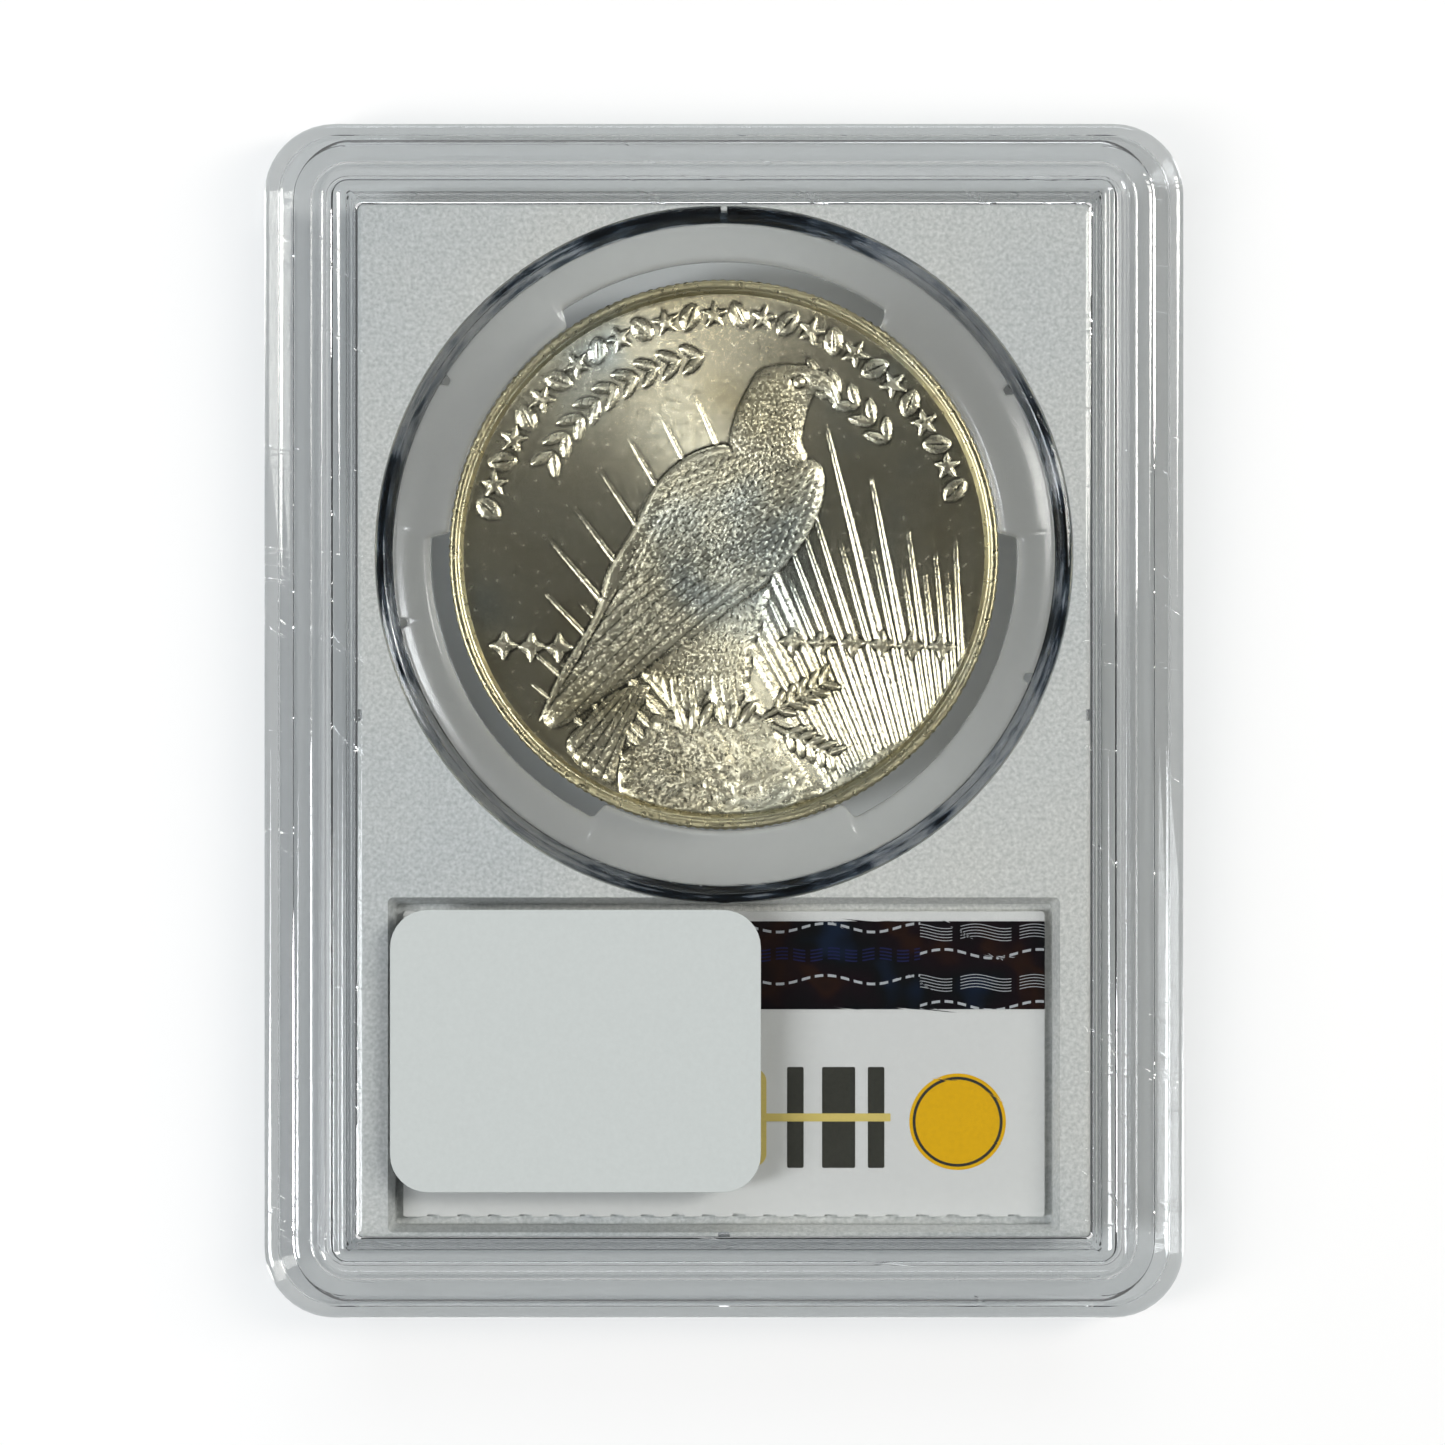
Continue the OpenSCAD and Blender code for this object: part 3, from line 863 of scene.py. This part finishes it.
def scales(u, v, size, aspect):
    # overlapping rounded feathers in staggered rows, from 0 to 1
    total = np.zeros_like(u)
    row = np.floor(u / size)
    for back in (0, 1):
        this = row - back
        across = v / (size * aspect) + 0.5 * (this % 2)
        cell = across - np.floor(across) - 0.5
        along = u / size - this
        reach = (along / 1.35) ** 2 + (cell * 1.9) ** 2
        lift = np.sqrt(np.clip(1 - reach, 0, 1)) * (0.55 + 0.45 * np.clip(along / 1.35, 0, 1))
        total = np.maximum(total, lift * (1 if back == 0 else 0.9))
    return total


def barbs(q, sharp=0.7):
    # parallel feather shafts, from 0 to 1
    return np.abs(np.sin(np.pi * q)) ** sharp


def starOutline(x, y, size, turn, points=5, waist=0.42):
    angles = turn + np.pi * np.arange(2 * points) / points
    radii = np.where(np.arange(2 * points) % 2, waist * size, size)
    return np.stack([x + radii * np.cos(angles), y + radii * np.sin(angles)], 1)


def leafOutline(x, y, length, width, turn, steps=7):
    t = np.linspace(0, np.pi, steps)
    side = np.concatenate([np.stack([-np.cos(t), width * np.sin(t) ** 1.3], 1),
                           np.stack([np.cos(t), -width * np.sin(t) ** 1.3], 1)[1:-1]])
    side[:, 0] *= length / 2
    c, s = math.cos(turn), math.sin(turn)
    return np.stack([x + side[:, 0] * c - side[:, 1] * s, y + side[:, 0] * s + side[:, 1] * c], 1)


def liftOut(height, depth, width, top):
    # lifts a rounded shape out of the face where it is the higher
    return np.maximum(height, dome(depth, width, top))


def overlay(height, depth, surface):
    # lays a surface over the face inside an outline, where it is the higher
    return np.where(depth > 0, np.maximum(height, surface), height)


def addLeaf(height, x, y, at, length, width, turn, top):
    outline = leafOutline(at[0], at[1], length, width, turn)
    return liftOut(height, depthInside(x, y, outline), width * 0.9, top)


def addRays(height, x, y):
    # tapering ridges that spread from a point below the face
    sx, sy = coinShape["raySource"]
    reach, bearing = np.hypot(x - sx, y - sy), np.degrees(np.arctan2(y - sy, x - sx))
    for angle, tip in coinShape["rays"]:
        off = np.abs(bearing - angle) * np.pi / 180 * reach
        inward = np.clip(tip - reach, 0, 1)
        width = 0.003 + 0.020 * np.clip(inward / 0.75, 0, 1) ** 0.8
        ridge = np.clip(1 - off / width, 0, 1) * np.clip(inward / 0.05, 0, 1)
        height = np.maximum(height, (0.075 + 0.05 * np.clip(inward / 0.6, 0, 1)) * ridge)
    return height


def addPlumage(height, x, y):
    # tail, thighs, neck and folded wing, each a swelling shape cut into feathers
    tail = depthIn(x, y, "tail")
    fan = np.degrees(np.arctan2(y + 0.36, x + 0.24))
    height = overlay(height, tail, dome(tail, 0.03, 0.17) + 0.07 * (barbs(fan / 5.2) - 0.6))
    thigh = depthIn(x, y, "thigh")
    hair = barbs((x + 0.2 * y) / 0.030 + 0.8 * np.sin(9 * y))
    tuft = scales(-0.25 * x - y, x - 0.25 * y, 0.045, 0.6)
    mixed = np.where(y < -0.44, hair, tuft)
    height = overlay(height, thigh, dome(thigh, 0.08, 0.22) + 0.05 * (mixed - 0.6))
    head = depthIn(x, y, "head")
    neck = scales(0.64 - y + 0.10 * x, x - 0.15 + 0.25 * (y - 0.5), 0.030, 0.72)
    calm = np.clip((0.62 - y) / 0.10, 0.3, 1)
    cut = 0.055 * calm * (neck - 0.6) * np.clip(head / 0.02, 0, 1)
    height = overlay(height, head, dome(head, 0.10, 0.27) + cut)
    height = liftOut(height, depthIn(x, y, "backFold"), 0.02, 0.20)
    wing = depthIn(x, y, "wing")
    (rootX, rootY), (ux, uy) = coinShape["wingRoot"], coinShape["wingWay"]
    along = (x - rootX) * ux + (y - rootY) * uy
    across = -(x - rootX) * uy + (y - rootY) * ux
    # small rounded feathers over the shoulder, long quills past the dividing line
    covert = scales(along + 0.35 * np.abs(across + 0.05), across, 0.034, 0.8)
    lean = across + 0.13 * along + 0.05 * np.sin(3 * along)
    quill = 0.75 * barbs(lean / 0.040) + 0.25 * barbs((across + 0.4 * along) / 0.011)
    past = along + 0.9 * across - 0.50
    share = np.clip(past / 0.06, 0, 1)
    feather = covert * (1 - share) + quill * share
    steps = 0.045 * np.clip(past / 0.02, 0, 1)
    cut = 0.085 * (feather - 0.65) * np.clip(wing / 0.012, 0, 1)
    return overlay(height, wing, dome(wing, 0.13, 0.36) - steps + cut)


def birdFace(x, y):
    # a perched eagle on a rock before spreading rays, inside rings of stars and leaves
    height = 0.02 * (x * x + y * y)
    height = addRays(height, x, y)
    height = liftOut(height, depthIn(x, y, "hill"), 0.03, 0.14)
    rock = depthIn(x, y, "rock")
    crag = 0.04 * np.sin(31 * x + 9 * np.sin(11 * y)) * np.sin(27 * y + 5 * np.sin(13 * x))
    height = overlay(height, rock, dome(rock, 0.07, 0.17) + crag * np.clip(rock / 0.03, 0, 1))
    height = addPlumage(height, x, y)
    talons = (((-0.16, -0.585), 1.9), ((-0.11, -0.59), 1.5), ((-0.065, -0.585), 1.2),
              ((-0.01, -0.575), 1.8), ((0.035, -0.585), 1.4), ((0.085, -0.575), 1.0))
    for at, turn in talons:
        height = addLeaf(height, x, y, at, 0.10, 0.019, turn, 0.27)
    height = liftOut(height, depthIn(x, y, "beak"), 0.03, 0.25)
    eye = np.hypot(x - 0.272, y - 0.628)
    height = height - 0.08 * np.exp(-((eye - 0.024) / 0.008) ** 2) + 0.05 * np.exp(-(eye / 0.012) ** 2)
    brow = np.abs(y - 0.657 - 0.15 * (x - 0.27)) + 10 * np.clip(np.abs(x - 0.27) - 0.045, 0, 1)
    height = height + 0.05 * np.exp(-(brow / 0.010) ** 2)
    mouth = np.abs(y - 0.598 + 0.2 * (x - 0.34)) + 10 * np.clip(np.abs(x - 0.35) - 0.04, 0, 1)
    height = height - 0.05 * np.exp(-(mouth / 0.007) ** 2)
    for (ax, ay), (bx, by) in (((0.08, -0.63), (0.37, -0.46)), ((0.13, -0.60), (0.39, -0.73))):
        turn = math.atan2(by - ay, bx - ax)
        height = addLeaf(height, x, y, ((ax + bx) / 2, (ay + by) / 2), 0.34, 0.009, turn, 0.20)
        for i in range(5):
            t = 0.42 + 0.14 * i
            for side in (-1, 1):
                at = (ax + (bx - ax) * t + 0.028 * math.cos(turn + side),
                      ay + (by - ay) * t + 0.028 * math.sin(turn + side))
                height = addLeaf(height, x, y, at, 0.078, 0.015, turn + side * 0.8, 0.22)
    return height


def legendMarks(height, x, y):
    # stars and leaves stand where a coin carries its words
    for i in range(27):
        angle = math.radians(169 - 5.9 * i)
        at = (0.872 * math.cos(angle), 0.872 * math.sin(angle))
        if i % 2 == 1:
            height = liftOut(height, depthInside(x, y, starOutline(at[0], at[1], 0.055, angle)), 0.016, 0.16)
        else:
            lean = angle + (0.5 if i % 4 else -0.5)
            height = addLeaf(height, x, y, at, 0.105, 0.34 * 0.105, lean, 0.16)
            vein = leafOutline(at[0], at[1], 0.085, 0.006, lean)
            height = height - dome(depthInside(x, y, vein), 0.004, 0.08)
    for first, last in ((152, 92), (64, 30)):
        for i in range(int((first - last) / 6.6)):
            angle = math.radians(first - 6.6 * i)
            for side in (-1, 1):
                at = ((0.722 + 0.024 * side) * math.cos(angle), (0.722 + 0.024 * side) * math.sin(angle))
                height = addLeaf(height, x, y, at, 0.095, 0.019, angle - math.pi / 2 - side * 0.6, 0.14)
    for x0, y0, count, gap in ((-0.80, -0.33, 3, 0.10), (0.25, -0.315, 6, 0.108)):
        for i in range(count):
            star = starOutline(x0 + gap * i, y0 - 0.004 * i, 0.056, math.pi / 2, 4, 0.5)
            height = liftOut(height, depthInside(x, y, star), 0.02, 0.17)
    for i in range(5):
        height = addLeaf(height, x, y, (-0.16 + 0.10 * i, -0.845 + 0.012 * abs(i - 2)), 0.085, 0.022,
                         math.pi / 2 + 0.14 * (i - 2), 0.22)
    return height


def wreathFace(x, y):
    # the other face, upright with the label above it: a rayed star inside a wreath
    height = 0.012 * (x * x + y * y)
    reach, bearing = np.hypot(x, y), np.arctan2(y, x)
    band = np.clip((reach - 0.34) / 0.05, 0, 1) * np.clip((0.60 - reach) / 0.1, 0, 1)
    height += 0.03 * barbs(bearing * 36 / np.pi, 3) * band
    star = starOutline(0, 0, 0.33, -math.pi / 2, 5, 0.40)
    height = liftOut(height, depthInside(x, y, star), 0.09, 0.16)
    for i in range(44):
        turn = math.radians(-80 + i * 340 / 43 - 10)
        for side in (-1, 1):
            radius = 0.73 + 0.035 * side
            lean = turn + (math.pi / 2 - side * 0.5) * (1 if i > 21 else -1)
            leaf = leafOutline(radius * math.cos(turn), radius * math.sin(turn), 0.12, 0.024, lean)
            height = liftOut(height, depthInside(x, y, leaf), 0.02, 0.11)
    for i in range(60):
        turn = 2 * math.pi * i / 60
        bead = np.hypot(x - 0.905 * math.cos(turn), y - 0.905 * math.sin(turn))
        height = np.maximum(height, dome(0.022 - bead, 0.02, 0.10) * (bead < 0.022))
    return height


def setTone(obj, name, values):
    tone = obj.data.attributes.new(name, "FLOAT", "POINT")
    tone.data.foreach_set("value", np.asarray(values, np.float32))


def spread(values, passes):
    # evens the heights out among their neighbours, to find what lies low
    size = int(round(math.sqrt(values.size)))
    grid = values.reshape(size, size).copy()
    for _ in range(passes):
        wide = np.pad(grid, 1, mode="edge")
        grid = (wide[:-2, 1:-1] + wide[2:, 1:-1] + wide[1:-1, :-2] + wide[1:-1, 2:] + grid) / 5
    return grid.ravel()


def makeReliefDisc(name, heights, upward):
    # a grid drawn out to a round disc, then struck by moving each point to its relief height
    steps = coinShape["gridSteps"]
    discR = (coinR / mm - coinShape["rimWide"] + coinShape["discOverlap"]) * mm
    drop = coinShape["fieldDrop"] * mm
    faceZ = coinHigh.z - drop if upward else coinLow.z + drop
    clearSelection()
    bpy.ops.mesh.primitive_grid_add(x_subdivisions=steps, y_subdivisions=steps, size=2)
    disc = bpy.context.object
    co = np.empty(len(disc.data.vertices) * 3)
    disc.data.vertices.foreach_get("co", co)
    co = co.reshape(-1, 3)
    u, v = co[:, 0].copy(), co[:, 1].copy()
    x, y = u * np.sqrt(1 - v * v / 2), v * np.sqrt(1 - u * u / 2)
    unit = discR / coinR
    px, py = x * unit, y * unit
    plain = heights(px, py)
    raised = legendMarks(plain, px, py) if upward else plain
    settle = np.clip((1 - np.hypot(x, y)) / coinShape["settleWide"], 0, 1)
    raised = np.clip(raised, 0, coinShape["fieldDrop"] - coinShape["belowRim"]) * settle
    side = 1 if upward else -1
    co[:, 0], co[:, 1] = coinX + x * discR * side, coinY + y * discR
    co[:, 2] = faceZ + side * raised * mm
    disc.data.vertices.foreach_set("co", co.ravel())
    setTone(disc, "relief", np.clip(raised / coinShape["fullRelief"], 0, 1))
    # painted shade: how far each point lies below its evened-out neighbours, which darkens it in the silver's
    # colour
    hollowShade = np.clip((spread(raised, 4) - raised) / coinShape["fullShadeDepth"], -1, 1)
    setTone(disc, "hollowShade", hollowShade * settle)
    activate(disc)
    bpy.ops.object.mode_set(mode="EDIT")
    turnOutward()
    selectBoundary(disc)
    skirt = (0, 0, -coinShape["discSkirt"] * mm * side)
    bpy.ops.mesh.extrude_edges_move(TRANSFORM_OT_translate={"value": skirt})
    bpy.ops.mesh.edge_face_add()
    turnOutward()
    bpy.ops.object.mode_set(mode="OBJECT")
    return finishPiece(disc, struckSilver, name, "coin", (), 60)


def makeCoinBody():
    # rim, reeded edge and the core that both struck faces sit on
    reeds, deep = coinShape["reeds"], coinShape["reedDeep"]
    count = reeds * 4
    edgeR, innerR = coinR / mm, coinR / mm - coinShape["rimWide"]
    z0, z1 = coinLow.z / mm, coinHigh.z / mm
    drop = coinShape["fieldDrop"]

    def reeded(angle):
        return edgeR - deep * (round(angle / 360 * count) % 4 >= 2)

    half = [(innerR - 0.3, drop + 0.12), (innerR - 0.12, drop + 0.06), (innerR + 0.02, drop - 0.08),
            (innerR + 0.13, 0.20), (innerR + 0.22, 0.13), (innerR + 0.30, 0.15), (innerR + 0.38, 0.06),
            (innerR + 0.48, 0.0), (edgeR - 0.20, 0.0), (edgeR - 0.10, 0.04), (reeded, 0.14)]
    profile = [(r, z1 - d) for r, d in half] + [(r, z0 + d) for r, d in reversed(half)]
    body = loft([roundOutline(r, z, count) for r, z in profile])
    setTone(body, "relief", np.full(len(body.data.vertices), 0.6))
    setTone(body, "hollowShade", np.zeros(len(body.data.vertices)))
    return finishPiece(body, struckSilver, "coinBody", "coin", ["coin"], 40)


makeCoinBody()
makeReliefDisc("coinBackFace", birdFace, True)
makeReliefDisc("coinFrontFace", wreathFace, False)
print("coin struck")


# label cards, print, foil and sticker

labelShape = {
    "toothPitch": 2.12, "toothWide": 0.95, "toothDeep": 0.17, "inkThick": 0.012,
    # back: seal from the right and the lower edge, bars from the right edge with their widths
    "seal": (6.05, 6.6), "sealR": 3.35, "sealRing": (3.12, 2.92), "barSpan": (3.4, 10.4),
    "bars": ((11.7, 1.15), (14.3, 2.3), (17.3, 1.15)), "rule": (15.9, 5.2, 0.28), "tab": (20.8, 1.5, 3.4),
    # front: lines from its own top, which is the lower edge here, with their widths
    "lines": ((4.0, 15.0), (7.2, 11.0), (10.4, 13.0), (13.6, 8.0)), "lineStart": 3.0, "lineHalf": 0.55,
    "frontSealR": 4.2, "frontSealIn": 8.0,
}


def makeCard(name, cardNode):
    low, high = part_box(cardNode)
    card = plateOn((low, high), radius=0.25)
    count = int((high.x - low.x) / mm / labelShape["toothPitch"])
    for i in range(count):
        x = centreX + (i - (count - 1) / 2) * labelShape["toothPitch"] * mm
        carve(card, boxBar(labelShape["toothWide"] / 2, labelShape["toothDeep"], 0.1, low.z / mm - 1,
                           high.z / mm + 1, x, low.y))
    return finishPiece(card, labelPaper, name, "holder", [cardNode])


def makePrint(name, outline, z, material, up=1):
    # one inked shape lying on a card; outline points are in metres
    thick = labelShape["inkThick"] * mm * up
    mark = loft([[(x, y, z) for x, y, _ in outline], [(x, y, z + thick) for x, y, _ in outline]])
    return finishPiece(mark, material, name, "holder", (), 30)


def makePrintBand(name, outer, inner, z, material):
    # a printed outline of even width
    thick = labelShape["inkThick"] * mm
    levels = [(outer, 0.0), (outer, thick), (inner, thick), (inner, 0.0)]
    band = loft([[(x, y, z + rise) for x, y, _ in line] for line, rise in levels], closed=True)
    return finishPiece(band, material, name, "holder", (), 30)


def makeBackPrint():
    low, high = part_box("label_back_card")
    z = high.z
    overInk = z + labelShape["inkThick"] * mm
    fromRight, fromLow = labelShape["seal"]
    sealX, sealY = high.x - fromRight * mm, low.y + fromLow * mm
    makePrint("printSeal", roundOutline(labelShape["sealR"], 0, 96, sealX, sealY), z, yellowInk)
    outer, inner = (roundOutline(radius, 0, 96, sealX, sealY) for radius in labelShape["sealRing"])
    makePrintBand("printSealRing", outer, inner, overInk, darkInk)
    barLow, barTop = labelShape["barSpan"]
    middle, half = low.y + (barTop + barLow) / 2 * mm, (barTop - barLow) / 2
    for i, (fromRight, wide) in enumerate(labelShape["bars"]):
        bar = boxOutline(wide / 2, half, 0.12, 0, high.x - fromRight * mm, middle)
        makePrint(f"printBar{i + 1}", bar, z, darkInk)
    fromRight, halfX, halfY = labelShape["rule"]
    rule = boxOutline(halfX, halfY, 0.05, 0, high.x - fromRight * mm, middle)
    makePrint("printRule", rule, overInk, paleYellowInk)
    fromRight, halfX, halfY = labelShape["tab"]
    tab = boxOutline(halfX, halfY, 0.9, 0, high.x - fromRight * mm, middle)
    makePrint("printTab", tab, z, paleYellowInk)


def makeStrip():
    strip = plateOn(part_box("hologram_strip"), radius=0.1, edge=0.01)
    return finishPiece(strip, hologramFoil, "hologramStrip", "holder", ["hologram_strip"])


def makeFrontPrint():
    low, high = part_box("label_front_card")
    for i, (down, wide) in enumerate(labelShape["lines"]):
        x = low.x + (labelShape["lineStart"] + wide / 2) * mm
        line = boxOutline(wide / 2, labelShape["lineHalf"], 0.2, 0, x, low.y + down * mm)
        makePrint(f"frontLine{i + 1}", line, low.z, darkInk, -1)
    sealX, sealY = high.x - labelShape["frontSealIn"] * mm, middleOf(low, high)[1]
    seal = roundOutline(labelShape["frontSealR"], 0, 96, sealX, sealY)
    makePrint("frontSeal", seal, low.z, yellowInk, -1)


def makeSticker():
    sticker = plateOn(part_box("blank_sticker"), radius=2.6, edge=0.03)
    return finishPiece(sticker, stickerFilm, "blankSticker", "holder", ["blank_sticker"])


def dressNode(name, material):
    # gives a CAD node that stays its finish
    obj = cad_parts[name]
    obj.data.materials.clear()
    obj.data.materials.append(material)


makeCard("labelBackCard", "label_back_card")
makeCard("labelFrontCard", "label_front_card")
makeBackPrint()
makeStrip()
makeFrontPrint()
makeSticker()
dressNode("tag_antenna", tagFoil)
dressNode("tag_chip", chipBlack)
print("label and sticker made")


# floor, light and camera

# each lamp's place, width and length in metres, its power in watts and its colour
lamps = {
    "softLeft": ((-0.42, -0.11, 0.50), (0.14, 0.40), 2.85, (0.97, 0.98, 1.0)),
    "softRight": ((0.42, 0.11, 0.50), (0.12, 0.40), 2.6, (1.0, 0.975, 0.93)),
    "softTop": ((0.05, 0.82, 0.36), (0.5, 0.2), 1.6, (0.95, 0.98, 1.0)),
}
# the camera's height over the case in metres, the width it sees and its shift in mm
cameraShape = {"away": 0.6, "viewWide": 99.6, "shift": (-0.1, -0.12)}


def makeFloor():
    clearSelection()
    bpy.ops.mesh.primitive_plane_add(size=6, location=(centreX, centreY, cadLow.z))
    floor = bpy.context.object
    floor.name = "floor"
    mat = newMaterial("paleFloor", **{"Base Color": (0.93, 0.93, 0.93, 1), "Roughness": 0.8})
    floor.data.materials.append(mat)


def addLamp(name, place, size, power, color):
    lamp = bpy.data.lights.new(name, "AREA")
    lamp.shape, lamp.size, lamp.size_y = "RECTANGLE", size[0], size[1]
    lamp.energy, lamp.color = power, color
    obj = bpy.data.objects.new(name, lamp)
    scene.collection.objects.link(obj)
    obj.location = place
    toCoin = Vector((coinX, coinY, partingZ)) - Vector(place)
    obj.rotation_euler = toCoin.to_track_quat("-Z", "Y").to_euler()


def makeWorld():
    world = bpy.data.worlds.new("studio")
    scene.world = world
    world.use_nodes = True
    tree = world.node_tree
    # bright at the horizon, dark overhead
    tone = ramp(tree, splitPlace(tree, "Generated")["Z"], (
        (0.0, (0.62, 0.63, 0.64, 1)), (0.25, (0.40, 0.41, 0.42, 1)), (0.50, (0.12, 0.125, 0.13, 1)),
        (0.80, (0.10, 0.105, 0.11, 1)), (1.0, (0.035, 0.035, 0.034, 1))))
    tree.links.new(tone, tree.nodes["Background"].inputs["Color"])
    tree.nodes["Background"].inputs["Strength"].default_value = 1.0


def makeCamera():
    data = bpy.data.cameras.new("camera")
    camera = bpy.data.objects.new("camera", data)
    scene.collection.objects.link(camera)
    away, shift = cameraShape["away"], cameraShape["shift"]
    data.lens = data.sensor_width * away / (cameraShape["viewWide"] * mm)
    camera.location = (centreX + shift[0] * mm, centreY + shift[1] * mm, cadHigh.z + away)
    data.clip_start, data.clip_end = 0.01, 20
    scene.camera = camera


makeFloor()
makeWorld()
for lampName, settings in lamps.items():
    addLamp(lampName, *settings)
makeCamera()
print("stage set")
